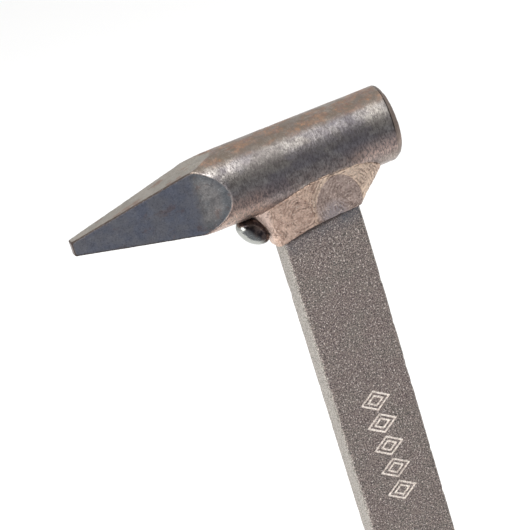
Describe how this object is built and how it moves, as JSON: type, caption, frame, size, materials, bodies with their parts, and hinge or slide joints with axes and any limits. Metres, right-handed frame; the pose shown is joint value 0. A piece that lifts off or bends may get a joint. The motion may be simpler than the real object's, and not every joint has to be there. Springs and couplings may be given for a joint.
{
  "type": "farrier stamp with steel handle",
  "caption": "Hammer-shaped farrier stamp: round steel head with a four-sided tapered nose and flat struck end, arc-welded across the end of a flat-bar steel handle.",
  "frame": {"origin": "centre of the flat butt face at the foot of the handle", "axes": "+Z along the handle towards the head, +X from the handle towards the struck face, -Y out of the marked face of the handle"},
  "size_m": [0.0978, 0.0222, 0.3],
  "materials": {
    "head_steel": "brushed and heat-tinted tool steel with rust bloom",
    "handle_steel": "matt blasted mill scale with bright worn edges",
    "weld_metal": "wire-brushed weld bead with heat tint",
    "droplet_metal": "glossy dark oxide"
  },
  "bodies": {
    "root": {"stamp_head": "head_steel", "handle_bar": "handle_steel", "root_weld": "weld_metal", "nose_end_weld": "weld_metal", "struck_end_weld": "weld_metal", "front_nose_weld": "weld_metal", "front_struck_weld": "weld_metal", "front_toe_weld": "weld_metal", "back_nose_weld": "weld_metal", "back_struck_weld": "weld_metal", "back_toe_weld": "weld_metal", "weld_droplet": "droplet_metal"}
  },
  "joints": []
}
